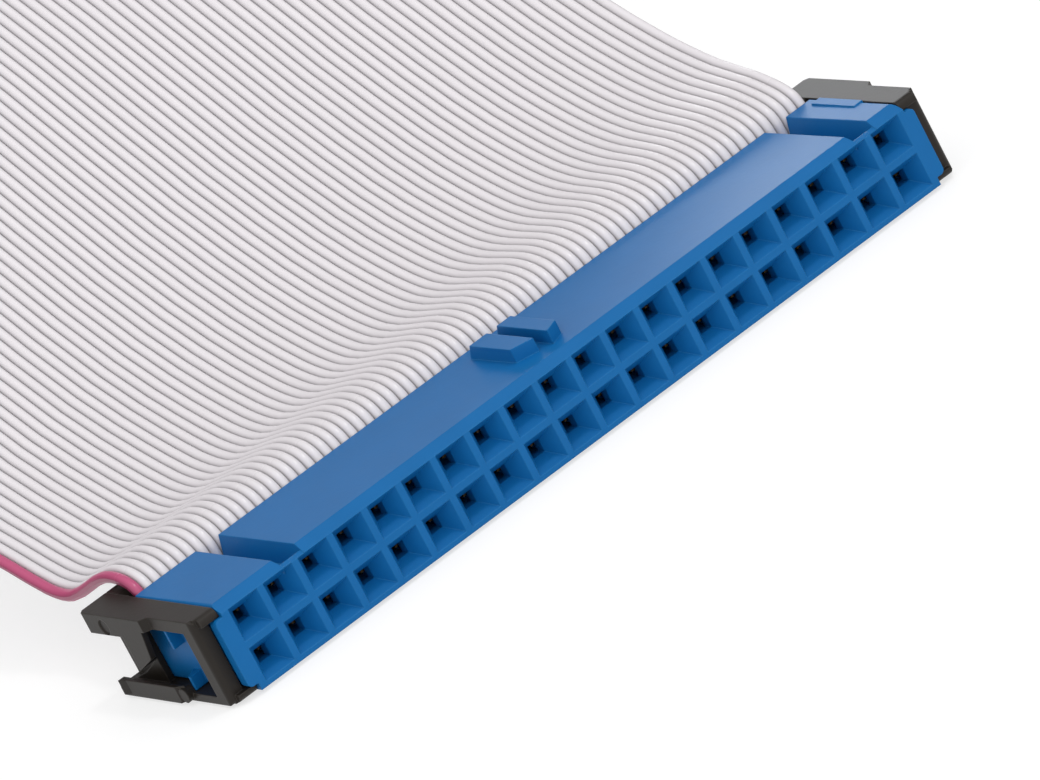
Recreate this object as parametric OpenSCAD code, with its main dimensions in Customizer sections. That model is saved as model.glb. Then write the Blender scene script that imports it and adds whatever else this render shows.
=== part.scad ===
// Flat ribbon cable with a clamped two-row socket on each end. Millimetres.
// The near socket lies on the table with its mating face towards -Y. The cable is clamped upright
// behind its body, leaves at the top, bends back over the cover and runs away along +Y.
// The origin is the middle of the near socket, on the table.

/* [Contact grid] */
// Number of contact columns
columns = 20; // [8:1:32]
// Distance between neighbouring contacts
pitch = 2.54; // [2.4:0.01:3]
// Side of each square funnel at the mating face
funnel_w = 2.12; // [1.4:0.02:2.12]
// Depth of each funnel
funnel_d = 1.1; // [0.8:0.05:1.6]
// Side of the square pin hole behind each funnel
pin_hole_w = 0.8; // [0.66:0.02:1.1]

/* [Socket body] */
// Depth of the body, from its mating face to the cable
body_d = 9.3; // [8.2:0.05:14]
// Height of the body at its front
body_h = 5.4; // [5.3:0.05:8]
// Drop of the body's top towards the cable
body_draft = 0.05; // [0:0.05:0.5]
// Gap between the table and the body
body_lift = 0.25; // [0.1:0.05:0.6]
// Length of the body beyond its outer contacts
body_end = 1.52; // [1.2:0.02:3]
// Thickness of the land on each end that the cover's arm slides over
land_t = 0.6; // [0.4:0.05:1]
// Width of the two keyway grooves at the top
keyway_w = 1.7; // [1:0.05:1.7]
// Depth of the keyway grooves below the top
keyway_d = 1.25; // [0.6:0.05:1.25]
// Height of the ribs on the middle of the top
key_rib_h = 0.85; // [0.5:0.05:1.5]

/* [Cover] */
// Thickness of the cover behind the cable
cover_d = 2.5; // [1.8:0.05:4]
// Height of the plate behind the cable, which the cable bends over
plate_h = 5.6; // [4:0.05:5.7]
// Thickness of the latch arms
arm_t = 1; // [0.7:0.05:1.5]
// Height of the latch arms
arm_h = 5.6; // [5.4:0.05:8]

/* [Cable] */
// Thickness over the insulation
cable_t = 0.68; // [0.5:0.01:0.7]
// Clearance of the cable in its clamp, on each side
clamp_gap = 0.01; // [0.005:0.005:0.05]

/* [Contacts] */
// Thickness of the contact strip
strip_t = 0.25; // [0.15:0.01:0.3]
// Width of one insulation-piercing fork
fork_w = 0.84; // [0.6:0.02:0.9]
// Slot of the fork, which bites into one conductor
fork_slot = 0.24; // [0.16:0.02:0.3]
// Reach of the forks past the cable
fork_reach = 0.55; // [0.3:0.05:0.8]

/* [Hidden] */
$fn = 48;
fit = 0.05;               // clearance between moulded pieces
over = 1;                 // how far a cutter runs past the face it opens

// Grid
wires_per_column = 4;
wires = columns * wires_per_column;
wire = pitch / wires_per_column;
cable_w = wires * wire;
column_x = [for (c = [0 : columns - 1]) (c - (columns - 1) / 2) * pitch];
row_lift = 2.62;          // middle of the two rows above the body's underside
rows_z = body_lift + row_lift;
lower_z = rows_z - pitch / 2;
upper_z = rows_z + pitch / 2;

// Depth, front to back
slot_d = cable_t + 2 * clamp_gap;
socket_d = body_d + slot_d + cover_d;
face_y = -socket_d / 2;
body_back = face_y + body_d;
cable_y = body_back + slot_d / 2;
cover_front = body_back + slot_d;
cover_back = socket_d / 2;

// Body
block_x = column_x[columns - 1] + body_end;
land_x = block_x + land_t;
body_front_z = body_lift + body_h;
body_back_z = body_front_z - body_draft;
chamfer_y = 0.9;          // front edge of the top
chamfer_z = 0.42;
corner_r = 0.25;          // upper edges at the two ends
ear_r = 0.3;              // outer corners of the ears
ear_t = 0.7;
ear_z = [body_lift + 0.47, body_lift + 4.77];
land_z = [body_lift + 0.57, body_lift + 4.52];
land_y = [face_y + 1.45, body_back - 0.35];
tooth_x = land_x + 0.8;
tooth_y = [face_y + 4.65, face_y + 5.5];
tooth_flat = 0.2;
tooth_upper = [land_z[1] - 1.35, land_z[1]];
tooth_lower = [body_lift + 0.5, body_lift + 1.35];
keyway_floor_w = 0.6 * keyway_w;
keyway_floor_z = body_front_z - keyway_d;
keyway_lip_z = [body_front_z - 0.46, body_front_z - 0.33];
keyway_lip_y = [face_y + 0.45, face_y + 0.7];
key_rib_top = body_front_z + key_rib_h;
key_rib_root = body_back_z - 0.2;
key_rib_back = body_back - 1.95;
key_rib_ramp = 0.6;
key_rib_left = [-1.5, -0.2];
key_rib_left_front = [face_y + 2.95, face_y + 2.35];
key_rib_right = [0.57, 1.6];
key_rib_right_front = [face_y + 1.95, face_y + 2.55];
tab_w = 0.65;             // small raised tab on one end block
tab_y = [face_y + 3.85, face_y + 8.3];
tab_top = body_front_z + 0.06;

// Cover
arm_in = land_x + fit;
arm_out = arm_in + arm_t;
arm_step = 0.4;           // the rear of each arm stands out by this much
rear_out = arm_out + arm_step;
arm_front = face_y + ear_t + fit;
arm_low = 0.2;            // underside of the arms
hook_tip = face_y + 0.3;
hook_lead = [0.53, 0.47]; // how far the rounding of the upper and the lower hook runs back
arm_edge = 0.25;          // chamfers along the front of an arm
arm_round = 0.4;
rear_start = cover_front - 4.55;
cover_nose_r = 1.5;       // rounds the edge that the cable bends over
bottom_bar_h = tooth_lower[0] - fit;
top_bar_z = land_z[1] + fit;
window_front = arm_front + 1.3;
window_back = cover_front - 1.75;
limb_foot = [cover_front - 3.3, 3];      // lowest point of the limb's front edge, as [y, z]
limb_heel = [cover_front - 1.3, 2.1];    // lowest point of its rear edge
limb_top_y = cover_front - 3.85;
limb_slope = (limb_foot[1] - limb_heel[1]) / (limb_heel[0] - limb_foot[0]);
limb_inner_z = limb_heel[1] + limb_slope * (limb_heel[0] - window_back);
notch_top = 4.3;
foot_out = arm_in + 0.4;  // outer face of the limb's foot, which is set in
notch_in = land_x - 0.05;
notch_foot = 0.6;
lip_z = [0.33, 1.25];     // lip along the foot of the arm
lip_y = [face_y + 4.75, cover_back - 0.65];
lip_t = 0.28;
lip_flare = [0.6, 0.15];  // how far its flared end runs, along Y and outwards
boss_r = 0.45;            // round boss at its front end
mark_r = 0.5;             // shallow round mark above the notch
mark_deep = 0.08;

// Contacts
chamber_w = 1.5;
chamber_up = 0.2;         // top of a contact chamber above the pin's axis
chamber_down = 0.5;
chamber_front = face_y + funnel_d + 0.7;
step_y = chamber_front + 5.3;
fork_drop = 0.325;        // the fork lies this much lower than the pin's axis
fork_tip = cover_front + fork_reach;
upper_fork_x = wire / 2;
lower_fork_x = -1.5 * wire;
bar_upper_z = rows_z + 0.3;
bar_lower_z = rows_z - 0.3;
bar_front = body_back - 1.9;
bar_spine = 0.8;
edge_fork_x = column_x[columns - 1] + 1.5 * wire + fork_w / 2;

// Cable route. Each station is [y, z] of the left edge, the middle and the right edge: y from the
// clamp's middle plane, z from the table. The left side sags low behind the cover and the right
// side rises, so the cable twists as it leaves.
ROUTE = [
    [0, 0.35,      0, 0.35,      0, 0.35],
    [0, 4,         0, 4,         0, 4.1],
    [0.02, 4.8,    0.02, 4.8,    0.02, 4.95],
    [0.12, 5.25,   0.08, 5.25,   0.09, 5.5],
    [0.32, 5.58,   0.22, 5.62,   0.3, 5.98],
    [0.65, 5.85,   0.5, 5.99,    0.7, 6.32],
    [1.1, 6.05,    0.95, 6.29,   1.3, 6.63],
    [1.75, 6.2,    1.6, 6.49,    2.2, 6.95],
    [2.55, 6.25,   2.5, 6.61,    3.3, 7.28],
    [3.5, 6.15,    3.6, 6.61,    4.5, 7.52],
    [4.6, 5.85,    4.8, 6.48,    5.7, 7.77],
    [5.8, 5.4,     6.1, 6.32,    6.9, 8.03],
    [7.1, 4.92,    7.5, 6.2,     8.2, 8.43],
    [8.4, 4.56,    8.9, 6.23,    9.5, 8.89],
    [9.7, 4.49,    10.3, 6.48,   10.9, 9.43],
    [11.1, 4.72,   11.8, 6.9,    12.3, 10.05],
    [12.6, 5.23,   13.4, 7.48,   13.9, 10.81],
    [14.4, 5.94,   15.3, 8.26,   15.8, 11.81],
    [16.8, 6.83,   17.8, 9.48,   18.2, 13.22],
    [20, 8.2,      21, 11.32,    21.3, 15.22],
    [24.4, 10.9,   25.2, 14,     25.4, 18.12],
    [29.8, 14.5,   30.3, 17.7,   30.5, 21.9],
    [36, 19.3,     36.2, 22.1,   36.4, 26.2],
    [45, 25.7,     45.2, 28.3,   45.4, 32.1],
    [57, 32.4,     57.2, 34.6,   57.4, 37.9],
    [71, 37.4,     71.2, 38.9,   71.3, 41.4],
    [86, 39.2,     86.1, 40,     86.2, 41.6],
    [102, 36.4,    102, 36.6,    102, 37.3],
    [119, 29.4,    119, 29.3,    119, 29.3],
    [136, 20.2,    136, 20.1,    136, 20],
    [153, 11.2,    153, 11.2,    153, 11.2],
    [170, 4.9,     170, 4.9,     170, 4.9],
    [187, 1.75,    187, 1.75,    187, 1.75],
    [204, 0.65,    204, 0.65,    204, 0.65],
    [222, 0.37,    222, 0.37,    222, 0.37],
    [240, 0.36,    240, 0.36,    240, 0.36],
    [366, 0.37,    366, 0.37,    366, 0.37],
    [384, 0.39,    384, 0.39,    384, 0.39]
];
far_face_z = socket_d;    // the far socket stands on its cover, with its mating face up
far_cable_z = cover_back - cable_y;
far_start_y = cable_y + 429.3;
far_end = [far_start_y - cable_y + 3, far_start_y - cable_y + body_back_z - 0.05];
ROUTE_ALL = concat(
    ROUTE,
    [for (y = concat([far_end[0] - 6], far_end)) [y, far_cable_z, y, far_cable_z, y, far_cable_z]]
);

// ---- Shared shapes ----

module mirrored_ends() {
    children();
    mirror([1, 0, 0]) children();
}

// A solid whose outline is given as [y, z] points, between two places on X.
module slab_x(x0, x1, outline) {
    translate([x0, 0, 0])
        rotate([90, 0, 90])
            linear_extrude(x1 - x0) polygon(outline);
}

// A box from its low corner to its high corner.
module box(low, high) {
    translate(low) cube(high - low);
}

// A square-mouthed funnel and its pin hole, opening towards -Y, with its axis at z = 0.
module funnel() {
    m = funnel_w / 2;
    h = pin_hole_w / 2;
    bottom = face_y + funnel_d;
    side = [
        [face_y - over, m], [face_y, m], [bottom, h], [chamber_front + over, h],
        [chamber_front + over, -h], [bottom, -h], [face_y, -m], [face_y - over, -m]
    ];
    intersection() {
        slab_x(-m, m, side);
        translate([0, 0, -m])
            linear_extrude(2 * m) polygon([for (p = side) [p[1], p[0]]]);
    }
}

// ---- Body ----

module body_block() {
    outline = [
        [face_y, body_lift], [face_y, body_front_z - chamfer_z],
        [face_y + chamfer_y, body_front_z], [body_back, body_back_z], [body_back, body_lift]
    ];
    intersection() {
        slab_x(-block_x, block_x, outline);
        translate([0, cover_back, 0])
            rotate([90, 0, 0])
                linear_extrude(socket_d + over) rounded_block_outline();
    }
}

module rounded_block_outline() {
    x = block_x - corner_r;
    z = body_front_z - corner_r;
    translate([-block_x, 0]) square([2 * block_x, z]);
    translate([-x, 0]) square([2 * x, body_front_z]);
    for (side = [-1, 1])
        translate([side * x, z]) circle(corner_r);
}

// One end: the ear at the mating face, the land that the arm slides over, and its two teeth.
module body_end_details() {
    ear();
    box([block_x - over, land_y[0], land_z[0]], [land_x, land_y[1], land_z[1]]);
    tooth(tooth_upper);
    tooth(tooth_lower);
}

// The ear, with its two outer corners rounded.
module ear() {
    x = land_x - ear_r;
    translate([0, face_y + ear_t, 0])
        rotate([90, 0, 0])
            linear_extrude(ear_t) {
                translate([block_x - over, ear_z[0]])
                    square([x - block_x + over, ear_z[1] - ear_z[0]]);
                translate([x - over, ear_z[0] + ear_r])
                    square([ear_r + over, ear_z[1] - ear_z[0] - 2 * ear_r]);
                for (z = [ear_z[0] + ear_r, ear_z[1] - ear_r])
                    translate([x, z]) circle(ear_r);
            }
}

// A wedge: its catch face looks to the front and its ramp falls away to the rear.
module tooth(z) {
    translate([0, 0, z[0]])
        linear_extrude(z[1] - z[0])
            polygon([
                [block_x, tooth_y[0]], [tooth_x, tooth_y[0]],
                [tooth_x, tooth_y[0] + tooth_flat], [land_x, tooth_y[1]], [block_x, tooth_y[1]]
            ]);
}

// One of the two ribs on the middle of the top. Its front edge slants between two places on Y.
module key_rib(x, front) {
    back = key_rib_back + key_rib_ramp;
    intersection() {
        translate([0, 0, key_rib_root])
            linear_extrude(key_rib_top - key_rib_root)
                polygon([[x[0], back], [x[0], front[0]], [x[1], front[1]], [x[1], back]]);
        slab_x(x[0], x[1], [
            [face_y, key_rib_root], [face_y, key_rib_top], [key_rib_back, key_rib_top],
            [back, body_back_z], [back, key_rib_root]
        ]);
    }
}

// A keyway groove along the top. It narrows towards its floor, which rises into a sloping lip
// over the funnels at the front.
module keyway(x) {
    outline = [
        [face_y - over, keyway_lip_z[0]], [face_y, keyway_lip_z[0]],
        [keyway_lip_y[0], keyway_lip_z[1]], [keyway_lip_y[1], keyway_floor_z],
        [body_back + over, keyway_floor_z],
        [body_back + over, body_front_z + over / 2],
        [face_y - over, body_front_z + over / 2]
    ];
    low = [keyway_floor_w / 2, keyway_floor_z];
    high = [keyway_w / 2, body_front_z];
    intersection() {
        slab_x(x - keyway_w / 2, x + keyway_w / 2, outline);
        translate([x, body_back + 2 * over, 0])
            rotate([90, 0, 0])
                linear_extrude(body_back - face_y + 4 * over)
                    polygon([
                        low - [0, over], low, high, high + [0, over],
                        [-high[0], high[1] + over], [-high[0], high[1]],
                        [-low[0], low[1]], [-low[0], low[1] - over]
                    ]);
    }
}

// The small raised tab at the outer edge of one end block.
module end_tab() {
    box([block_x - tab_w, tab_y[0], body_back_z - corner_r], [block_x, tab_y[1], tab_top]);
}

// The chamber of one contact, open to the cable, with the slot that holds its fork.
module contact_chamber(fork_x) {
    box(
        [-chamber_w / 2, chamber_front, -chamber_down],
        [chamber_w / 2, step_y + strip_t + fit, chamber_up]
    );
    slot_w = fork_w / 2 + 0.1;
    low = min(-chamber_w / 2, fork_x - slot_w);
    high = max(chamber_w / 2, fork_x + slot_w);
    box([low, step_y - over, -chamber_down], [high, body_back + over, -fork_drop + strip_t / 2 + fit]);
}

module bar_slot(z) {
    x = edge_fork_x + fit;
    box([-x, bar_front - fit, z - strip_t / 2 - fit], [x, body_back + over, z + strip_t / 2 + fit]);
}

module body() {
    difference() {
        union() {
            body_block();
            mirrored_ends() body_end_details();
            key_rib(key_rib_left, key_rib_left_front);
            key_rib(key_rib_right, key_rib_right_front);
            end_tab();
        }
        for (x = column_x) {
            translate([x, 0, upper_z]) funnel();
            translate([x, 0, lower_z]) funnel();
            translate([x, 0, upper_z]) contact_chamber(upper_fork_x);
            translate([x, 0, lower_z]) contact_chamber(lower_fork_x);
        }
        keyway(column_x[1] + pitch / 2);
        keyway(column_x[columns - 1] - pitch / 2);
        bar_slot(bar_upper_z);
        bar_slot(bar_lower_z);
    }
}

// ---- Cover ----

module cover_plate() {
    nose = [
        for (a = [180 : -10 : 90])
            [cover_front + cover_nose_r * (1 + cos(a)), plate_h - cover_nose_r * (1 - sin(a))]
    ];
    outline = concat([[cover_front, 0]], nose, [[cover_back, plate_h], [cover_back, 0]]);
    slab_x(-block_x, block_x, outline);
}

// The outline of an arm seen from the side, before its openings are cut.
function arm_outline() = [
    [arm_front, arm_low + arm_edge], [arm_front + arm_edge, arm_low], [cover_back, arm_low],
    [cover_back, arm_h], [arm_front + arm_edge, arm_h], [arm_front, arm_h - arm_edge]
];

module arm() {
    difference() {
        union() {
            slab_x(arm_in, arm_out, arm_outline());
            arm_rear();
            // top and bottom rails, which reach inwards over and under the land
            box([block_x + fit, arm_front + arm_edge, top_bar_z], [arm_out, cover_back, arm_h]);
            box([block_x + fit, arm_front + arm_edge, arm_low], [arm_out, cover_back, bottom_bar_h]);
            hooks();
            // the web that joins the arm to the plate behind the cable
            box([block_x - fit, cover_front, 0], [arm_in + fit, cover_back, plate_h - fit]);
        }
        window();
        limb_openings();
        notch();
        arm_outer_rounding();
    }
    lip();
    boss();
}

// The rear of the arm stands a little proud of its latch frame.
module arm_rear() {
    intersection() {
        slab_x(arm_in, rear_out, arm_outline());
        translate([0, 0, -over])
            linear_extrude(arm_h + 2 * over)
                polygon([
                    [arm_in, rear_start], [arm_out, rear_start],
                    [rear_out, rear_start + arm_step], [rear_out, cover_back - arm_edge],
                    [rear_out - arm_edge, cover_back], [arm_in, cover_back]
                ]);
    }
}

// A quarter of an ellipse on the side view, about a centre, from one angle on.
function quarter(centre, r, from) =
    [for (a = [from : 15 : from + 90]) centre + [r[0] * cos(a), r[1] * sin(a)]];

// Hooks that reach forwards above and below the ear, with rounded fronts.
module hooks() {
    root = arm_front + over;
    low = ear_z[1] + fit;
    high = ear_z[0] - fit;
    r_top = [hook_lead[0], arm_h - low];
    r_bottom = [hook_lead[1], high - arm_low];
    slab_x(block_x + fit, arm_out - arm_edge, concat(
        [[root, low], [root, arm_h]], quarter([hook_tip + r_top[0], low], r_top, 90)
    ));
    slab_x(block_x + fit, arm_out - arm_edge, concat(
        quarter([hook_tip + r_bottom[0], high], r_bottom, 180), [[root, arm_low], [root, high]]
    ));
}

// The opening that the teeth stand in.
module window() {
    box([arm_in - fit, window_front, bottom_bar_h], [arm_out + fit, window_back, top_bar_z]);
}

// The limb behind the window leans back and is thin in front. Its foot is set in behind the lip.
module limb_openings() {
    rear = [
        limb_heel, [limb_heel[0], notch_top], [cover_back + over, notch_top],
        [cover_back + over, bottom_bar_h]
    ];
    slab_x(arm_out, rear_out + over, concat(
        [[window_front, bottom_bar_h], [window_front, top_bar_z], [limb_top_y, top_bar_z], limb_foot],
        rear
    ));
    slab_x(foot_out, arm_out + fit, concat(
        [[window_back, bottom_bar_h], [window_back, limb_inner_z]],
        rear
    ));
}

// The notch behind the limb, open to the back and to the outside.
module notch() {
    slab_x(notch_in, rear_out + over, [
        [limb_heel[0], notch_top], [cover_back + over, notch_top],
        [cover_back + over, bottom_bar_h], [cover_back - notch_foot, bottom_bar_h],
        [cover_front + notch_foot / 2, lip_z[1]], limb_heel
    ]);
}

// Rounds the arm's long front edge on the outside.
module arm_outer_rounding() {
    r = arm_round;
    translate([arm_out - r, arm_front + r, -over])
        linear_extrude(arm_h + 2 * over)
            difference() {
                translate([0, -r - over]) square([r + over, r + over]);
                circle(r);
            }
}

// The thin lip along the foot of the arm, with a flared rear end.
module lip() {
    root = foot_out + fit;
    difference() {
        translate([0, 0, lip_z[0]])
            linear_extrude(lip_z[1] - lip_z[0])
                polygon([
                    [root, lip_y[0]], [arm_out, lip_y[0]], [rear_out, lip_y[0] + 1],
                    [rear_out, lip_y[1] - lip_flare[0]], [rear_out + lip_flare[1], lip_y[1]],
                    [root, lip_y[1]]
                ]);
        box(
            [root - over, lip_y[0] - over, bottom_bar_h],
            [rear_out - lip_t, lip_y[1] + over, lip_z[1] + over]
        );
    }
}

// A round boss at the front end of the lip.
module boss() {
    translate([tooth_x + fit, lip_y[0] + boss_r, bottom_bar_h])
        rotate([0, 90, 0]) cylinder(h = rear_out - tooth_x - 2 * fit, r = boss_r);
}

// One groove in the cover that clears a row of fork tips.
module tip_groove(z) {
    x = edge_fork_x + fit;
    box([-x, cover_front - over, z - strip_t], [x, cover_front + fork_reach + 0.15, z + strip_t]);
}

// A shallow round mark on the rear block of the arm.
module ejector_mark() {
    translate([rear_out - mark_deep, cover_front + 0.3, notch_top + mark_r])
        rotate([0, 90, 0]) cylinder(h = over, r = mark_r);
}

module cover() {
    difference() {
        union() {
            cover_plate();
            mirrored_ends() arm();
        }
        tip_groove(upper_z - fork_drop);
        tip_groove(lower_z - fork_drop);
        tip_groove(bar_upper_z);
        tip_groove(bar_lower_z);
        mirrored_ends() ejector_mark();
    }
}

// ---- Contacts ----

// The two piercing prongs of a fork, from y0 to the tips, centred on x.
function fork_outline(x, y0) = [
    [x - fork_w / 2, y0], [x - fork_w / 2, fork_tip - 0.25], [x - fork_slot / 2 - 0.08, fork_tip],
    [x - fork_slot / 2, fork_tip - 0.15], [x - fork_slot / 2, body_back - 0.3],
    [x + fork_slot / 2, body_back - 0.3], [x + fork_slot / 2, fork_tip - 0.15],
    [x + fork_slot / 2 + 0.08, fork_tip], [x + fork_w / 2, fork_tip - 0.25], [x + fork_w / 2, y0]
];

// The two springy beams that grip a pin.
module beams() {
    front = chamber_front + 0.3;
    root = step_y - 0.6;
    linear_extrude(strip_t)
        difference() {
            translate([-0.65, front]) square([1.3, step_y - front]);
            polygon([
                [-0.45, front - over], [-0.2, front + 0.6], [-0.2, front + 0.9],
                [-0.35, root], [0.35, root], [0.2, front + 0.9], [0.2, front + 0.6],
                [0.45, front - over]
            ]);
        }
}

// A stamped contact: beams, a step down, and the fork that pierces the cable.
module contact(fork_x) {
    low = -fork_drop - strip_t / 2;
    translate([0, 0, -strip_t / 2]) beams();
    box([-0.65, step_y - strip_t, low], [0.65, step_y, strip_t / 2]);
    translate([0, 0, low])
        linear_extrude(strip_t) {
            polygon(fork_outline(fork_x, step_y + 0.5));
            polygon([
                [-0.65, step_y - strip_t], [min(-0.65, fork_x - fork_w / 2), step_y + 0.7],
                [max(0.65, fork_x + fork_w / 2), step_y + 0.7], [0.65, step_y - strip_t]
            ]);
        }
}

module contact_row(z, fork_x) {
    for (x = column_x)
        translate([x, 0, z]) contact(fork_x);
}

// A comb with one fork for each second ground conductor.
module ground_bar(z, fork_x) {
    half = edge_fork_x + fit / 2;
    spine_back = bar_front + bar_spine;
    forks = [for (x = column_x) each fork_outline(x + fork_x, spine_back)];
    spine = [[half, spine_back], [half, bar_front], [-half, bar_front], [-half, spine_back]];
    translate([0, 0, z - strip_t / 2])
        linear_extrude(strip_t) polygon(concat(forks, spine));
}

// ---- Cable ----

function mix3(a, m, b, u) =
    let (left = (u - 1) * (2 * u - 1), middle = 4 * u * (1 - u), right = u * (2 * u - 1))
    left * a + middle * m + right * b;

// A point on the cable's middle surface: u is 0 at the left edge and 1 at the right edge.
function station(k, u) =
    let (s = ROUTE_ALL[k])
    [cable_y + mix3(s[0], s[2], s[4], u), mix3(s[1], s[3], s[5], u)];

// A smooth curve through the stations, with its slope at each taken from its neighbours.
function slope_at(k, u) =
    let (
        last = len(ROUTE_ALL) - 1,
        before = station(max(k - 1, 0), u),
        here = station(k, u),
        after = station(min(k + 1, last), u),
        d0 = norm(here - before),
        d1 = norm(after - here)
    )
    k == 0 ? (after - here) / d1
    : k == last ? (here - before) / d0
    : ((here - before) / d0 * d1 + (after - here) / d1 * d0) / (d0 + d1);

function path_point(k, t, u) =
    let (
        a = station(k, u),
        b = station(k + 1, u),
        d = norm(b - a),
        h = t * t * (3 - 2 * t),
        bow = slope_at(k, u) * t * (1 - t) * (1 - t) - slope_at(k + 1, u) * t * t * (1 - t)
    )
    a * (1 - h) + b * h + bow * d;

steps_per_station = 2;
ring_count_all = (len(ROUTE_ALL) - 1) * steps_per_station;
// The straight run in the near clamp and the long run on the table need no steps in between.
function ring_wanted(i) =
    let (k = floor(i / steps_per_station), between = i % steps_per_station > 0)
    !between || (k > 2 && ROUTE_ALL[k][0] < 140);
RINGS = [for (i = [0 : ring_count_all]) if (ring_wanted(i)) i];

function ring_centre(i, u) =
    let (
        k = min(floor(i / steps_per_station), len(ROUTE_ALL) - 2),
        t = i / steps_per_station - k
    )
    path_point(k, t, u);

function ring_normal(i, u) =
    let (
        e = 0.02,
        a = ring_centre(max(i - e, 0), u),
        b = ring_centre(min(i + e, ring_count_all), u),
        d = (b - a) / norm(b - a)
    )
    [-d[1], d[0]];

// One corner of a ring: u across the cable, h of the half thickness to the outer side.
function ring_corner(i, u, h) =
    let (p = ring_centre(i, u) + ring_normal(i, u) * h * cable_t / 2)
    [(u - 0.5) * cable_w, p[0], p[1]];

// A closed strip with the given section, a list of [u, h] corners, swept along all the rings.
// The section runs clockwise, and its corners j and n - 1 - j lie opposite each other.
module swept_strip(section) {
    n = len(section);
    last = len(RINGS) - 1;
    points = [for (i = RINGS) for (c = section) ring_corner(i, c[0], c[1])];
    sides = [
        for (r = [0 : last - 1])
            for (j = [0 : n - 1])
                let (a = r * n + j, b = r * n + (j + 1) % n)
                each [[a, b, a + n], [b, b + n, a + n]]
    ];
    ends = [
        for (j = [0 : n / 2 - 2])
            let (a = j, b = j + 1, c = n - 2 - j, d = n - 1 - j, e = last * n)
            each [[d, b, a], [d, c, b], [e + a, e + b, e + d], [e + b, e + c, e + d]]
    ];
    polyhedron(points = points, faces = concat(sides, ends), convexity = 6);
}

// The lower half of a section whose upper half is given.
function under(outer) = [for (i = [len(outer) - 1 : -1 : 0]) [outer[i][0], -outer[i][1]]];

mark_u = 1 / wires;
round_u = 0.3 * mark_u;   // how far an outer edge is rounded

module ribbon() {
    outer = [[mark_u, 1], [0.25, 1], [0.5, 1], [0.75, 1], [1 - round_u, 1], [1, 0.4]];
    color("lightgrey") swept_strip(concat(outer, under(outer)));
}

module marked_conductor() {
    outer = [[0, 0.3], [round_u * 0.4, 0.7], [round_u * 1.2, 1], [mark_u, 1]];
    color("palevioletred") swept_strip(concat(outer, under(outer)));
}

// ---- Sockets in place ----

module at_far_end() {
    translate([0, far_start_y, far_face_z / 2]) rotate([-90, 0, 0]) children();
}

module host_body() { color("steelblue") body(); }
module host_cover() { color("dimgray") cover(); }
module host_contacts_upper() { color("gold") contact_row(upper_z, upper_fork_x); }
module host_contacts_lower() { color("gold") contact_row(lower_z, lower_fork_x); }
module host_ground_bar_upper() { color("silver") ground_bar(bar_upper_z, -wire / 2); }
module host_ground_bar_lower() { color("silver") ground_bar(bar_lower_z, 1.5 * wire); }

module far_body() { color("darkslategray") at_far_end() body(); }
module far_cover() { color("dimgray") at_far_end() cover(); }
module far_contacts_upper() { at_far_end() host_contacts_upper(); }
module far_contacts_lower() { at_far_end() host_contacts_lower(); }
module far_ground_bar_upper() { at_far_end() host_ground_bar_upper(); }
module far_ground_bar_lower() { at_far_end() host_ground_bar_lower(); }

host_body();
host_cover();
host_contacts_upper();
host_contacts_lower();
host_ground_bar_upper();
host_ground_bar_lower();
ribbon();
marked_conductor();
far_body();
far_cover();
far_contacts_upper();
far_contacts_lower();
far_ground_bar_upper();
far_ground_bar_lower();
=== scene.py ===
# %% [markdown]
# # A ribbon cable and its clamped sockets
# The part is a flat cable of eighty conductors, moulded together side by side. A two-row socket
# bites each end: a moulded body in front, a black cover behind, and the cable upright between
# them. This lesson adds the camera, the cable with its ridges, the copper at its cut ends, and a
# finish for every surface.

import bpy
import numpy as np
from mathutils import Matrix, Vector


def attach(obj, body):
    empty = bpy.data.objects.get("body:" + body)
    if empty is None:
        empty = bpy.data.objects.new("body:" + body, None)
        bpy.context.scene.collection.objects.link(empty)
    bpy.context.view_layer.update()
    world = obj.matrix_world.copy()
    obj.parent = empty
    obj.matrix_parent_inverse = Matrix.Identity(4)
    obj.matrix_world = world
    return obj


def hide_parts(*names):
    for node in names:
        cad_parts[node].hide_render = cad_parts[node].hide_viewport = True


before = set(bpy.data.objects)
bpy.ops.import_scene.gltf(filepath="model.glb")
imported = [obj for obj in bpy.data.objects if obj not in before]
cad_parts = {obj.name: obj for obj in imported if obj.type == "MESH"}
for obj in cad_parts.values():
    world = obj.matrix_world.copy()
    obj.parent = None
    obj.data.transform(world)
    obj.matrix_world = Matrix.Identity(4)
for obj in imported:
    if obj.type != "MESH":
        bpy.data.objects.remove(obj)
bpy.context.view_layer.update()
MM = 0.001
print("nodes:", ", ".join(sorted(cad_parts)))

# %% [markdown]
# ## The camera
# A long lens far away keeps the two rows of funnels almost parallel. The camera looks down on the
# mating face from the left and is rolled, so that the socket climbs across the frame. Aiming at a
# point and then rolling about the line of sight keeps three decisions apart: where the camera
# stands, what it looks at, and how far it is tilted.

# %% Place the camera
SENSOR_MM = 36
LENS_MM = 386.81
NEAREST, FARTHEST = 0.05, 20
CAMERA_PLACE = Vector((-0.254539, -0.531439, 0.201068))
CAMERA_TARGET = Vector((-0.000524, 0, 0.003024))
CAMERA_ROLL = np.radians(27.824)


def into_scene(name, data):
    """A new object with this data, linked into the scene."""
    thing = bpy.data.objects.new(name, data)
    bpy.context.scene.collection.objects.link(thing)
    return thing


def aimed(place, target):
    """The matrix that stands at a place and looks along its own -Z axis at the target."""
    look = (target - place).to_track_quat("-Z", "Y").to_matrix().to_4x4()
    return Matrix.Translation(place) @ look


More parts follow.
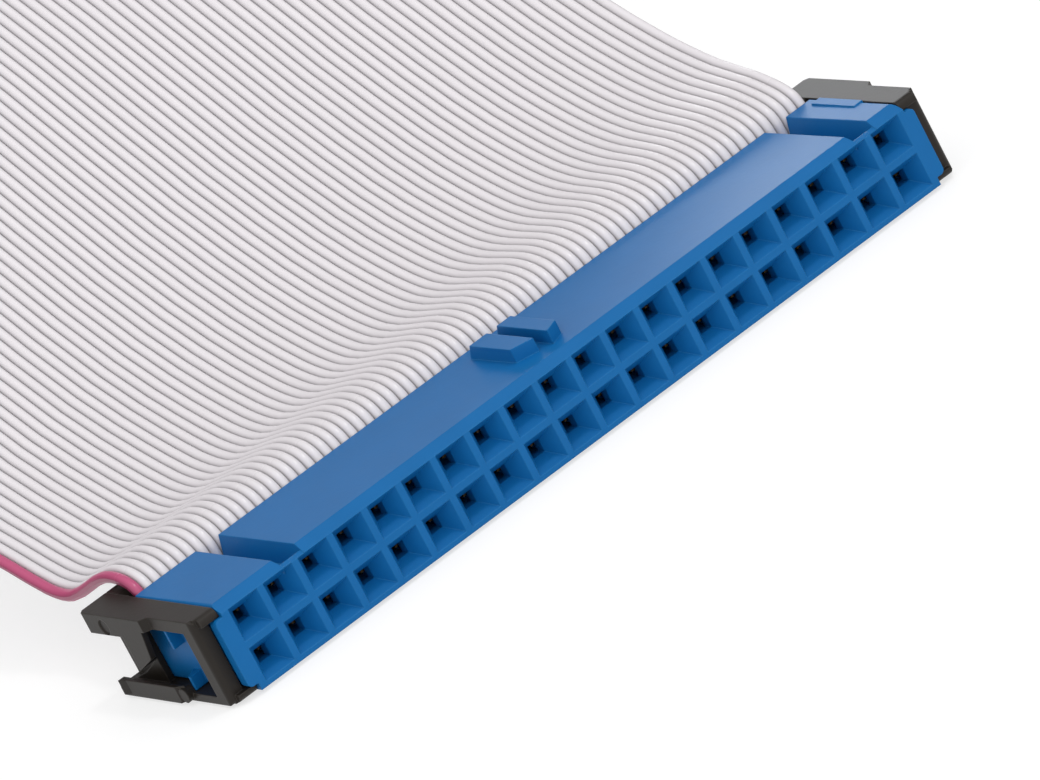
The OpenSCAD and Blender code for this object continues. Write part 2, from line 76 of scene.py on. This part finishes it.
camera_data = bpy.data.cameras.new("camera")
camera_data.sensor_width = SENSOR_MM
camera_data.lens = LENS_MM
camera_data.clip_start = NEAREST
camera_data.clip_end = FARTHEST
camera = into_scene("camera", camera_data)
roll = Matrix.Rotation(-CAMERA_ROLL, 4, "Z")
camera.matrix_world = aimed(CAMERA_PLACE, CAMERA_TARGET) @ roll
bpy.context.scene.camera = camera
print("camera stands", round((CAMERA_TARGET - CAMERA_PLACE).length, 3), "m from the socket")

# %% [markdown]
# ## The cable's route
# The cable is one strip. It stands upright in the clamp, bends back hard over the cover, sags
# behind it, climbs into a springy arch and comes down to the table. Its left edge sags lower than
# its right, so it twists. Three guide lines hold all of that: the left edge, the middle and the
# right edge. Each station below gives one point of each guide, as distance behind the clamp and
# height, in millimetres.

# %% List the stations
STATIONS = np.array([
    [0, 0.35,      0, 0.35,      0, 0.35],
    [0, 4,         0, 4,         0, 4.1],
    [0.02, 4.8,    0.02, 4.8,    0.02, 4.95],
    [0.12, 5.25,   0.08, 5.25,   0.09, 5.5],
    [0.32, 5.58,   0.22, 5.62,   0.3, 5.98],
    [0.65, 5.85,   0.5, 5.99,    0.7, 6.32],
    [1.1, 6.05,    0.95, 6.29,   1.3, 6.63],
    [1.75, 6.2,    1.6, 6.49,    2.2, 6.95],
    [2.55, 6.25,   2.5, 6.61,    3.3, 7.28],
    [3.5, 6.15,    3.6, 6.61,    4.5, 7.52],
    [4.6, 5.85,    4.8, 6.48,    5.7, 7.77],
    [5.8, 5.4,     6.1, 6.32,    6.9, 8.03],
    [7.1, 4.92,    7.5, 6.2,     8.2, 8.43],
    [8.4, 4.56,    8.9, 6.23,    9.5, 8.89],
    [9.7, 4.49,    10.3, 6.48,   10.9, 9.43],
    [11.1, 4.72,   11.8, 6.9,    12.3, 10.05],
    [12.6, 5.23,   13.4, 7.48,   13.9, 10.81],
    [14.4, 5.94,   15.3, 8.26,   15.8, 11.81],
    [16.8, 6.83,   17.8, 9.48,   18.2, 13.22],
    [20, 8.2,      21, 11.32,    21.3, 15.22],
    [24.4, 10.9,   25.2, 14,     25.4, 18.12],
    [29.8, 14.5,   30.3, 17.7,   30.5, 21.9],
    [36, 19.3,     36.2, 22.1,   36.4, 26.2],
    [45, 25.7,     45.2, 28.3,   45.4, 32.1],
    [57, 32.4,     57.2, 34.6,   57.4, 37.9],
    [71, 37.4,     71.2, 38.9,   71.3, 41.4],
    [86, 39.2,     86.1, 40,     86.2, 41.6],
    [102, 36.4,    102, 36.6,    102, 37.3],
    [119, 29.4,    119, 29.3,    119, 29.3],
    [136, 20.2,    136, 20.1,    136, 20],
    [153, 11.2,    153, 11.2,    153, 11.2],
    [170, 4.9,     170, 4.9,     170, 4.9],
    [187, 1.75,    187, 1.75,    187, 1.75],
    [204, 0.65,    204, 0.65,    204, 0.65],
    [222, 0.37,    222, 0.37,    222, 0.37],
    [240, 0.36,    240, 0.36,    240, 0.36],
    [366, 0.37,    366, 0.37,    366, 0.37],
    [384, 0.39,    384, 0.39,    384, 0.39],
    [426.3, 2.85,  426.3, 2.85,  426.3, 2.85],
    [432.3, 2.85,  432.3, 2.85,  432.3, 2.85],
    [434.85, 2.85, 434.85, 2.85, 434.85, 2.85],
])
MIDDLE = slice(2, 4)
CLAMP_Y = 3.4
WIRES = 80
WIRE = 0.635
CABLE_W = WIRES * WIRE
CABLE_T = 0.68
print(len(STATIONS), "stations; cable", round(CABLE_W, 1), "mm wide")

# %% [markdown]
# A smooth line has to pass through every station without overshooting, although some stations are
# a fraction of a millimetre apart and others over a hundred. The slope at each one is therefore
# the mean of its two neighbours' directions, weighted towards the nearer one, and a cubic joins
# each pair.

# %% Draw one smooth line through a guide
def guide(points, steps):
    """Points along a smooth line, with steps[k] pieces between station k and the next."""
    gaps = np.diff(points, axis=0)
    length = np.linalg.norm(gaps, axis=1)
    unit = gaps / length[:, None]
    slope = np.empty_like(points)
    slope[0], slope[-1] = unit[0], unit[-1]
    weight = (length[:-1] + length[1:])[:, None]
    slope[1:-1] = (unit[:-1] * length[1:, None] + unit[1:] * length[:-1, None]) / weight
    line = []
    for k, count in enumerate(steps):
        t = (np.arange(count) / count)[:, None]
        ease = t * t * (3 - 2 * t)
        bow = slope[k] * t * (1 - t) ** 2 - slope[k + 1] * t * t * (1 - t)
        line.append(points[k] * (1 - ease) + points[k + 1] * ease + bow * length[k])
    return np.vstack(line + [points[-1:]])


middle = guide(STATIONS[:, MIDDLE], [1] * (len(STATIONS) - 1))
print("a guide through the middle, one step to a stretch:", len(middle), "points")

# %% [markdown]
# The tight bend over the cover needs many short rings and the flat run on the table needs few.
# Each stretch between two stations is cut by how far it goes and by how much it turns, whichever
# asks for more, and the three guides share one answer, because a ring crosses all of them.

# %% Choose the rings
LONGEST_STEP = 12
SHARPEST_TURN = np.radians(9)
PROBES = 12


def steps_for(points):
    """How many pieces each stretch of a guide needs."""
    fine = guide(points, [PROBES] * (len(points) - 1))
    heading = np.unwrap(np.arctan2(*np.diff(fine, axis=0).T[::-1]))
    turned = np.abs(np.diff(heading, prepend=heading[0])).reshape(-1, PROBES).sum(axis=1)
    gaps = np.linalg.norm(np.diff(points, axis=0), axis=1)
    return np.ceil(np.maximum(gaps / LONGEST_STEP, turned / SHARPEST_TURN)).astype(int).clip(1)


EDGES_AND_MIDDLE = [STATIONS[:, columns] for columns in (slice(0, 2), MIDDLE, slice(4, 6))]
STEPS = np.max([steps_for(points) for points in EDGES_AND_MIDDLE], axis=0).tolist()
GUIDES = [guide(points, STEPS) for points in EDGES_AND_MIDDLE]
RINGS = len(GUIDES[0])
print(RINGS, "rings along the cable")

# %% [markdown]
# Between the guides the cable bows gently, so each point across its width is on a parabola
# through the three of them. The outward direction is found in the plane of the route, by turning
# the line's own direction a quarter turn: in the clamp it points forwards, and on the table it
# points up.

# %% Find any point of the cable's surface
def surface(u):
    """Centre in mm and outward direction for every ring, at u across (0 left, 1 right)."""
    left, centre, right = (u - 1) * (2 * u - 1), 4 * u * (1 - u), u * (2 * u - 1)
    line = left * GUIDES[0] + centre * GUIDES[1] + right * GUIDES[2]
    along = np.gradient(line, axis=0)
    along /= np.linalg.norm(along, axis=1)[:, None]
    return line, np.column_stack([-along[:, 1], along[:, 0]])


def cable_points(u, height):
    """Points for every ring at u across, height above the middle surface, in metres."""
    line, outward = surface(u)
    place = line + outward * height
    x = np.full(RINGS, (u - 0.5) * CABLE_W)
    return np.column_stack([x, place[:, 0] + CLAMP_Y, place[:, 1]]) * MM


centre_line = cable_points(0.5, 0)
run = np.concatenate([[0], np.cumsum(np.linalg.norm(np.diff(centre_line, axis=0), axis=1))])
cable_length = float(run[-1])
print("cable length", round(cable_length, 4), "m")

# %% [markdown]
# ## The conductors
# Every conductor is a round wire in its own sleeve, and thin webs join the sleeves, so the
# strip's section is a row of arcs that meet in sharp valleys. The upper side gets more points
# than the underside, which is rarely seen. The lowest points are noted as valleys, because the
# edges that run along them have to stay sharp.

# %% Outline the strip's section
VALLEY = 0.1
TOP_POINTS = 6
UNDER_POINTS = 4


def arcs(first, last, side, count):
    """Section points over the conductors first to last, and which of them are valleys."""
    share = np.arange(count) / count
    radius = CABLE_T / 2
    top_angle = np.arccos(VALLEY / radius)
    angle = top_angle * (2 * share - 1)
    across = (np.sin(angle) / np.sin(top_angle) + 1) / 2
    u = np.concatenate([(wire + across) / WIRES for wire in range(first, last + 1)])
    height = np.tile(radius * np.cos(angle), last - first + 1) * side
    return u, height, np.tile(share == 0, last - first + 1)


def section(first, last):
    """The closed outline of a strip of conductors: over the top, then back underneath."""
    u_top, h_top, v_top = arcs(first, last, 1, TOP_POINTS)
    u_low, h_low, v_low = arcs(first, last, -1, UNDER_POINTS)
    end_u = (last + 1) / WIRES
    u = np.concatenate([u_top, [end_u, end_u], u_low[::-1]])
    height = np.concatenate([h_top, [VALLEY, -VALLEY], h_low[::-1]])
    valley = np.concatenate([v_top, [True, True], v_low[::-1]])
    return u, height, valley


print(len(section(1, WIRES - 1)[0]), "points round the grey strip's section")

# %% [markdown]
# Sweeping the section along the rings gives a closed mesh of quads, with a cap at each end. Its
# UV map runs along and across the cable in metres, so that a finish can follow the cable wherever
# it goes. How far each point lies below its ridge, as a share of the valley's depth, becomes an
# attribute of the same mesh, for the finish to shade by.

# %% Sweep a strip of conductors
def swept_faces(count):
    """Quads between neighbouring rings of count points, and the two end caps."""
    j = np.arange(count)
    base = (np.arange(RINGS - 1) * count)[:, None]
    here, following = base + j, base + (j + 1) % count
    quads = np.stack([here, here + count, following + count, following], axis=-1).reshape(-1, 4)
    last_ring = (RINGS - 1) * count
    caps = [list(range(count)), list(range(last_ring + count - 1, last_ring - 1, -1))]
    return quads.tolist() + caps


def strip(name, first, last):
    """A closed mesh of the conductors first to last."""
    u, height, _ = section(first, last)
    count = len(u)
    grid = np.stack([cable_points(a, b) for a, b in zip(u, height)], axis=1)
    mesh = bpy.data.meshes.new(name)
    mesh.from_pydata(grid.reshape(-1, 3).tolist(), [], swept_faces(count))
    mesh.shade_smooth()
    ridge = CABLE_T / 2
    depth = (ridge - np.abs(height)) / (ridge - VALLEY)
    groove = mesh.attributes.new("groove", "FLOAT", "POINT")
    groove.data.foreach_set("value", np.tile(depth, RINGS).astype(np.float32))
    return into_scene(name, mesh)


grey_conductors = strip("grey_conductors", 1, WIRES - 1)
edge_conductor = strip("edge_conductor", 0, 0)
for piece in (grey_conductors, edge_conductor):
    piece.data.calc_loop_triangles()
    print(piece.name, len(piece.data.loop_triangles), "triangles")

# %% [markdown]
# Smooth shading would melt the valleys away, so the edges that run along them are marked sharp.
# An edge runs along a valley when both of its ends are the same place in the section, and that
# place is a valley. The underside's UV strip is set well apart from the upper side's.

# %% Sharpen the valleys and lay out the UV map
UNDERSIDE_APART = 60


def follow_cable(piece, first, last):
    """Sharpen the valleys, lay out the UV map, and return how many edges are sharp."""
    mesh = piece.data
    u, height, valley = section(first, last)
    count = len(u)
    ends = np.empty(len(mesh.edges) * 2, int)
    mesh.edges.foreach_get("vertices", ends)
    a, b = ends.reshape(-1, 2).T % count
    along_valley = (a == b) & valley[a]
    sharp = mesh.attributes.new("sharp_edge", "BOOLEAN", "EDGE")
    sharp.data.foreach_set("value", along_valley)
    corner = np.empty(len(mesh.loops), int)
    mesh.loops.foreach_get("vertex_index", corner)
    across = ((u - 0.5) * CABLE_W + np.where(height < 0, UNDERSIDE_APART, 0)) * MM
    coords = np.column_stack([run[corner // count], across[corner % count]])
    mesh.uv_layers.new(name="along").data.foreach_set("uv", coords.ravel())
    return int(along_valley.sum())


print("sharp edges on the grey strip:", follow_cable(grey_conductors, 1, WIRES - 1))
print("sharp edges on the edge conductor:", follow_cable(edge_conductor, 0, 0))

# %% [markdown]
# ## Copper at the cut ends
# Each end of the cable is sheared off square, so eighty round copper cores show in a row, one in
# each sleeve. One small stub repeated along a line is work for Geometry Nodes: a line of points,
# a stub placed on each, and the instances made real. The tree takes its sizes as named inputs, so
# the same tree would serve a cable of another width.

# %% Build the tree
CORE_SIDES = 10


def core_row_tree(metal):
    """A row of round stubs along X, centred, with its sizes as inputs."""
    tree = bpy.data.node_groups.new("row_of_cores", "GeometryNodeTree")
    face = tree.interface
    face.new_socket("Geometry", in_out="OUTPUT", socket_type="NodeSocketGeometry")
    face.new_socket("Cores", in_out="INPUT", socket_type="NodeSocketInt")
    for size in ("Spacing", "Radius", "Stub"):
        face.new_socket(size, in_out="INPUT", socket_type="NodeSocketFloat")
    new, link = tree.nodes.new, tree.links.new
    given, result = new("NodeGroupInput"), new("NodeGroupOutput")
    # The row starts half its length to the left: spacing * (0.5 - 0.5 * cores).
    gaps = new("ShaderNodeMath")
    gaps.operation = "MULTIPLY_ADD"
    gaps.inputs[1].default_value = -0.5
    gaps.inputs[2].default_value = 0.5
    link(given.outputs["Cores"], gaps.inputs[0])
    half = new("ShaderNodeMath")
    half.operation = "MULTIPLY"
    link(gaps.outputs[0], half.inputs[0])
    link(given.outputs["Spacing"], half.inputs[1])
    start, step = new("ShaderNodeCombineXYZ"), new("ShaderNodeCombineXYZ")
    link(half.outputs[0], start.inputs["X"])
    link(given.outputs["Spacing"], step.inputs["X"])
    row, core = new("GeometryNodeMeshLine"), new("GeometryNodeMeshCylinder")
    place = new("GeometryNodeInstanceOnPoints")
    row.mode = "OFFSET"
    link(given.outputs["Cores"], row.inputs["Count"])
    link(start.outputs[0], row.inputs["Start Location"])
    link(step.outputs[0], row.inputs["Offset"])
    core.inputs["Vertices"].default_value = CORE_SIDES
    link(given.outputs["Radius"], core.inputs["Radius"])
    link(given.outputs["Stub"], core.inputs["Depth"])
    link(row.outputs["Mesh"], place.inputs["Points"])
    link(core.outputs["Mesh"], place.inputs["Instance"])
    real, coat = new("GeometryNodeRealizeInstances"), new("GeometryNodeSetMaterial")
    coat.inputs["Material"].default_value = metal
    link(place.outputs[0], real.inputs[0])
    link(real.outputs[0], coat.inputs["Geometry"])
    link(coat.outputs[0], result.inputs["Geometry"])
    return tree


copper = bpy.data.materials.new("cut_copper")
core_tree = core_row_tree(copper)
print("tree with", len(core_tree.nodes), "nodes")

# %% [markdown]
# The modifier's inputs are set by their identifiers before the object is first evaluated. The
# result is copied out as a plain mesh, once for each end, and moved to its place inside the mesh
# itself. The near ends look down out of the clamp and the far ends look back along the table.

# %% Grow the two rows of cores
CORE_RADIUS = 0.127
CORE_STUB = 0.3
CORE_PROUD = 0.02
grower = into_scene("grower", bpy.data.meshes.new("grower"))
modifier = grower.modifiers.new("cores", "NODES")
modifier.node_group = core_tree
SIZES = {
    "Cores": WIRES, "Spacing": WIRE * MM, "Radius": CORE_RADIUS * MM, "Stub": CORE_STUB * MM,
}
for item in core_tree.interface.items_tree:
    if item.in_out == "INPUT":
        modifier[item.identifier] = SIZES[item.name]


def core_row(name, ring, turn):
    """The row of cores at one end of the cable, as a plain mesh."""
    grown = grower.evaluated_get(bpy.context.evaluated_depsgraph_get())
    mesh = bpy.data.meshes.new_from_object(grown)
    outward = Vector(turn @ Vector((0, 0, -1)))
    centre = Vector(centre_line[ring]) + outward * (CORE_PROUD - CORE_STUB / 2) * MM
    mesh.transform(Matrix.Translation(centre) @ turn.to_4x4())
    return into_scene(name, mesh)


near_cores = core_row("near_cores", 0, Matrix.Identity(3))
far_cores = core_row("far_cores", -1, Matrix.Rotation(np.radians(90), 3, "X"))
grower.modifiers.remove(modifier)
bpy.data.objects.remove(grower)
print("cores:", len(near_cores.data.polygons), "and", len(far_cores.data.polygons), "faces")

# %% [markdown]
# ## What the cable stands for
# The two strips stand for the plain cable solids of the imported model, which are hidden. The
# strips and both rows of cores are attached to the root.

STANDS_FOR = {grey_conductors: "ribbon", edge_conductor: "marked_conductor"}
for piece in (grey_conductors, edge_conductor, near_cores, far_cores):
    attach(piece, "root")
for piece, node in STANDS_FOR.items():
    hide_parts(node)

# %% [markdown]
# ## Finishes
# Each finish is a small node tree on a Principled shader. Helpers keep the trees short: one
# starts a material and sets what is the same all over the surface straight on the shader, one
# adds a node with its settings, and one mixes two colours. Every finish then adds only what
# varies. A Mix node holds sockets for floats, vectors and colours at once, so its colour sockets
# are picked by number.

# %% Helpers for node trees
MIX_SHARE, MIX_COLOURS, MIX_RESULT = 0, (6, 7), 2


def finish(material, **settings):
    """The tree and shader of a material, with these settings on its shader."""
    material.use_nodes = True
    tree = material.node_tree
    shader = tree.nodes["Principled BSDF"]
    for key, value in settings.items():
        shader.inputs[key.replace("_", " ")].default_value = value
    return tree, shader


def add(tree, kind, inputs=None, **settings):
    """A node of this kind, with its properties and its inputs set."""
    node = tree.nodes.new(kind)
    for key, value in settings.items():
        setattr(node, key, value)
    for key, value in (inputs or {}).items():
        node.inputs[key].default_value = value
    return node


def blend(tree, share, first, second):
    """The output of a colour mix from first to second, by a share socket."""
    mix = add(tree, "ShaderNodeMix", data_type="RGBA")
    tree.links.new(share, mix.inputs[MIX_SHARE])
    for number, colour in zip(MIX_COLOURS, (first, second)):
        if isinstance(colour, bpy.types.NodeSocket):
            tree.links.new(colour, mix.inputs[number])
        else:
            mix.inputs[number].default_value = (*colour, 1)
    return mix.outputs[MIX_RESULT]


def tinted(colour, factor):
    """A lighter or darker tone of a colour."""
    return tuple(min(1, c * factor) for c in colour)


print("helpers ready")

# %% [markdown]
# ### Moulded plastic
# The bodies and covers are glass-filled mouldings: satin and faintly cloudy. Their soft corners
# are painted paler: partly wear, and partly a painted highlight where the rounded corners catch
# the light. A Bevel node rounds the shading at the corners without changing the mesh. Where its
# normal leans away from the flat one there is a corner, so the same node also says where the
# paler paint goes, and a cloudy noise breaks it up. A much finer noise is the grain of the mould.
# Both noises run on Object coordinates, in metres.

# %% Moulded plastic
CLOUDS_PER_M = 330
GRAINS_PER_M = 3800
GRAIN_DEPTH = 0.02 * MM
CORNER_RADIUS = 0.1 * MM
FLAT_DOT, CORNER_DOT = 0.99, 0.85


def moulded(name, colour, corner_wear_and_highlight, **settings):
    """Satin moulded plastic whose soft corners are painted paler: wear and a painted highlight."""
    material = bpy.data.materials.new(name)
    tree, shader = finish(material, **settings)
    link = tree.links.new
    place = add(tree, "ShaderNodeTexCoord").outputs["Object"]
    cloud = add(tree, "ShaderNodeTexNoise", {"Scale": CLOUDS_PER_M, "Detail": 4})
    grain = add(tree, "ShaderNodeTexNoise", {"Scale": GRAINS_PER_M, "Detail": 2})
    for noise in (cloud, grain):
        link(place, noise.inputs["Vector"])
    soft = add(tree, "ShaderNodeBevel", {"Radius": CORNER_RADIUS}, samples=6)
    bump = add(tree, "ShaderNodeBump", {"Strength": 0.2, "Distance": GRAIN_DEPTH})
    link(grain.outputs[0], bump.inputs["Height"])
    link(soft.outputs[0], bump.inputs["Normal"])
    link(bump.outputs[0], shader.inputs["Normal"])
    lean = add(tree, "ShaderNodeVectorMath", operation="DOT_PRODUCT")
    link(soft.outputs[0], lean.inputs[0])
    link(add(tree, "ShaderNodeNewGeometry").outputs["True Normal"], lean.inputs[1])
    corner = add(tree, "ShaderNodeMapRange", {"From Min": FLAT_DOT, "From Max": CORNER_DOT})
    link(lean.outputs["Value"], corner.inputs["Value"])
    # Paler corners: partly wear, partly a painted highlight where rounded corners catch the light.
    wear_and_highlight_share = add(tree, "ShaderNodeMath", operation="MULTIPLY")
    link(corner.outputs[0], wear_and_highlight_share.inputs[0])
    link(cloud.outputs[0], wear_and_highlight_share.inputs[1])
    tone = blend(tree, cloud.outputs[0], tinted(colour, 0.92), tinted(colour, 1.08))
    link(blend(tree, wear_and_highlight_share.outputs[0], tone, corner_wear_and_highlight), shader.inputs["Base Color"])
    return material


# Each moulding's corner colour is paler: wear and a painted highlight on its rounded corners.
blue = moulded(
    "blue_moulding", (0.004, 0.13, 0.37), corner_wear_and_highlight=(0.014, 0.2, 0.49),
    Roughness=0.42, Specular_IOR_Level=0.18)
black = moulded(
    "black_moulding", (0.018, 0.0145, 0.0115), corner_wear_and_highlight=(0.09, 0.08, 0.07),
    Roughness=0.44, Specular_IOR_Level=0.22)
far_black = moulded(
    "far_moulding", (0.022, 0.022, 0.024), corner_wear_and_highlight=(0.08, 0.08, 0.08),
    Roughness=0.44, Specular_IOR_Level=0.3)
print("moulded finishes:", blue.name, black.name, far_black.name)

# %% [markdown]
# ### Insulation
# The sleeves are soft vinyl. Three things vary. Along each wire the tone drifts a little, so a
# noise is stretched along the cable's UV map. In the valleys the groove attribute paints a fine
# darker line between the wires: painted shade, where the valleys lie in shadow. The vinyl is dull
# along its length and shinier in the last few millimetres, where it is stretched hard into a clamp.

# %% Insulation
DRIFTS_PER_M = (60, 1600, 1)
GROOVE_SHADE_POWER = 1.6
STRETCHED_TO, DULL_FROM = 4 * MM, 9 * MM
SHINY, DULL = 0.16, 0.36


def insulation(name, colour, groove_shade_tone):
    """Soft insulation, with painted shade in every valley, shinier near its ends."""
    material = bpy.data.materials.new(name)
    tree, shader = finish(material, Specular_IOR_Level=0.5)
    link = tree.links.new
    place = add(tree, "ShaderNodeUVMap", uv_map="along").outputs[0]
    along = add(tree, "ShaderNodeSeparateXYZ")
    link(place, along.inputs[0])
    from_end = add(tree, "ShaderNodeMath", {1: cable_length / 2}, operation="PINGPONG")
    link(along.outputs["X"], from_end.inputs[0])
    rough = add(tree, "ShaderNodeMapRange", {
        "From Min": STRETCHED_TO, "From Max": DULL_FROM, "To Min": SHINY, "To Max": DULL})
    link(from_end.outputs[0], rough.inputs["Value"])
    link(rough.outputs[0], shader.inputs["Roughness"])
    stretch = add(tree, "ShaderNodeMapping", {"Scale": DRIFTS_PER_M})
    drift = add(tree, "ShaderNodeTexNoise", {"Scale": 1, "Detail": 3})
    link(place, stretch.inputs["Vector"])
    link(stretch.outputs[0], drift.inputs["Vector"])
    tone = blend(tree, drift.outputs[0], tinted(colour, 0.96), tinted(colour, 1.04))
    # Painted shade: a darker line along every valley, where the web between the sleeves lies in
    # shadow.
    depth = add(tree, "ShaderNodeAttribute", attribute_name="groove")
    groove_shade_share = add(tree, "ShaderNodeMath", {1: GROOVE_SHADE_POWER}, operation="POWER")
    link(depth.outputs["Fac"], groove_shade_share.inputs[0])
    line = blend(tree, groove_shade_share.outputs[0], tone, tinted(colour, groove_shade_tone))
    link(line, shader.inputs["Base Color"])
    return material


grey = insulation("grey_insulation", (0.76, 0.725, 0.75), groove_shade_tone=0.42)
crimson = insulation("crimson_insulation", (0.5, 0.08, 0.19), groove_shade_tone=0.62)
grey_conductors.data.materials.append(grey)
edge_conductor.data.materials.append(crimson)
print("insulation finishes:", grey.name, crimson.name)

# %% [markdown]
# ### Metal
# The contacts are plated and the ground bars are tinned, and both are seen only deep inside the
# pin holes and the clamp. The plating is given a dark colour, painted shade that keeps the pin
# holes black. The cut copper is the one bare metal. Rolling and shearing leave a faint streak, so
# each metal's roughness wanders with a stretched noise.

# %% Metal
STREAKS_PER_M = (300, 2500, 2500)
WANDER = 0.08


def rolled(material, colour, roughness):
    """Metal whose roughness wanders in streaks along X."""
    tree, shader = finish(material, Base_Color=(*colour, 1), Metallic=1)
    link = tree.links.new
    stretch = add(tree, "ShaderNodeMapping", {"Scale": STREAKS_PER_M})
    streak = add(tree, "ShaderNodeTexNoise", {"Scale": 1, "Detail": 3})
    wander = add(tree, "ShaderNodeMapRange", {
        "To Min": roughness - WANDER, "To Max": roughness + WANDER})
    link(add(tree, "ShaderNodeTexCoord").outputs["Object"], stretch.inputs["Vector"])
    link(stretch.outputs[0], streak.inputs["Vector"])
    link(streak.outputs[0], wander.inputs["Value"])
    link(wander.outputs[0], shader.inputs["Roughness"])
    return material


# Painted shade: the plating's colour is darkened so that the contacts deep in the pin holes read
# black.
darkened_plating = rolled(bpy.data.materials.new("contact_plating_painted_dark"), (0.2, 0.15, 0.09), 0.55)
tinned = rolled(bpy.data.materials.new("tinned_strip"), (0.6, 0.6, 0.58), 0.4)
rolled(copper, (0.72, 0.38, 0.24), 0.35)
print("metal finishes:", darkened_plating.name, tinned.name, copper.name)

# %% [markdown]
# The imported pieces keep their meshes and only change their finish.

# %% Give every hard piece its finish
FINISHES = {
    "host_body": blue, "host_cover": black, "far_body": far_black, "far_cover": black,
    "contacts": darkened_plating, "ground_bar": tinned,
}
for name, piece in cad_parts.items():
    for key, material in FINISHES.items():
        if key in name:
            piece.data.materials.clear()
            piece.data.materials.append(material)
            print(name, "is", material.name)

# %% [markdown]
# ## The table
# The part lies on plain white paper. Diffuse light meets ordinary paper, so the part gets a
# natural bounce from below. To the camera and in reflections the paper is mostly a glow of its
# own, like paper that is lit until it bleaches, so the ground is white and the shadows on it are
# faint.

# %% Lay the paper
PAPER_HALF = 3
PAPER_TONE = 0.82
BLEACHED_TONE = 0.36
BLEACHED_GLOW = 0.68
paper_mesh = bpy.data.meshes.new("paper")
corners = [(-1, -1, 0), (1, -1, 0), (1, 1, 0), (-1, 1, 0)]
paper_mesh.from_pydata([Vector(c) * PAPER_HALF for c in corners], [], [(0, 1, 2, 3)])
paper = into_scene("paper", paper_mesh)
paper_white = bpy.data.materials.new("paper_white")
tree, shader = finish(
    paper_white, Roughness=0.9, Specular_IOR_Level=0.1, Emission_Color=(1, 1, 1, 1))
rays = add(tree, "ShaderNodeLightPath")
either = add(tree, "ShaderNodeMath", operation="MAXIMUM")
tree.links.new(rays.outputs["Is Camera Ray"], either.inputs[0])
tree.links.new(rays.outputs["Is Glossy Ray"], either.inputs[1])
seen = either.outputs[0]
glow = add(tree, "ShaderNodeMath", {1: BLEACHED_GLOW}, operation="MULTIPLY")
tree.links.new(seen, glow.inputs[0])
tree.links.new(glow.outputs[0], shader.inputs["Emission Strength"])
tones = blend(tree, seen, (PAPER_TONE,) * 3, (BLEACHED_TONE,) * 3)
tree.links.new(tones, shader.inputs["Base Color"])
paper_mesh.materials.append(paper_white)
print("paper", 2 * PAPER_HALF, "m square")

# %% [markdown]
# ## Light
# The surroundings are a light tent. It is brightest in front, above and a little to the left, and
# falls off towards the back, so that the low tops stay a deep blue instead of mirroring a white
# wall. The camera itself sees plain white.

# %% Light tent
TENT_SIDE = (-0.22, -0.7, 0.68)
TENT_DARK, DARK_UNTIL = 0.06, -0.4
TENT_BRIGHT, BRIGHT_FROM = 1.28, 0.9
SEEN_AS = 1.0
world = bpy.data.worlds.new("studio")
bpy.context.scene.world = world
world.use_nodes = True
sky = world.node_tree
toward = add(sky, "ShaderNodeVectorMath", {1: TENT_SIDE}, operation="DOT_PRODUCT")
level = add(sky, "ShaderNodeMapRange", {
    "From Min": DARK_UNTIL, "From Max": BRIGHT_FROM, "To Min": TENT_DARK, "To Max": TENT_BRIGHT})
white = add(sky, "ShaderNodeMix", {3: SEEN_AS}, data_type="FLOAT")
sky.links.new(add(sky, "ShaderNodeTexCoord").outputs["Generated"], toward.inputs[0])
sky.links.new(toward.outputs["Value"], level.inputs["Value"])
sky.links.new(add(sky, "ShaderNodeLightPath").outputs["Is Camera Ray"], white.inputs[0])
sky.links.new(level.outputs[0], white.inputs[2])
sky.links.new(white.outputs[0], sky.nodes["Background"].inputs["Strength"])
sky.nodes["Background"].inputs["Color"].default_value = (1, 1, 1, 1)
print("tent from", TENT_DARK, "to", TENT_BRIGHT)

# %% [markdown]
# Two soft boxes add what the tent can't. The high one leaves soft highlights where the ridges
# turn over into the clamp. The back one is small, low and close, with a grid that narrows its
# beam, so that it glances off the tops: the right-hand end catches it, and its pale sheen fades
# to the left.

# %% Soft boxes
def soft_box(name, place, target, size, watts, spread, tint):
    """A square soft lamp aimed at a target, whose beam spreads by this angle."""
    data = bpy.data.lights.new(name, "AREA")
    data.size = size
    data.energy = watts
    data.spread = np.radians(spread)
    data.color = tint
    into_scene(name, data).matrix_world = aimed(Vector(place), Vector(target))
    print(name, watts, "W over", spread, "degrees")


soft_box(
    "high_box", place=(0.24, -0.25, 0.92), target=(0, 0, 0),
    size=0.11, watts=1.25, spread=180, tint=(1, 1, 1))
soft_box(
    "back_box", place=(0.2, 0.3, 0.12), target=(0.03, -0.005, 0.003),
    size=0.12, watts=0.05, spread=90, tint=(0.95, 0.97, 1))

# %% [markdown]
# ## Finish
# The view transform is Standard, so that a colour renders as it is written.

# %% Set the view transform
bpy.context.scene.view_settings.view_transform = "Standard"
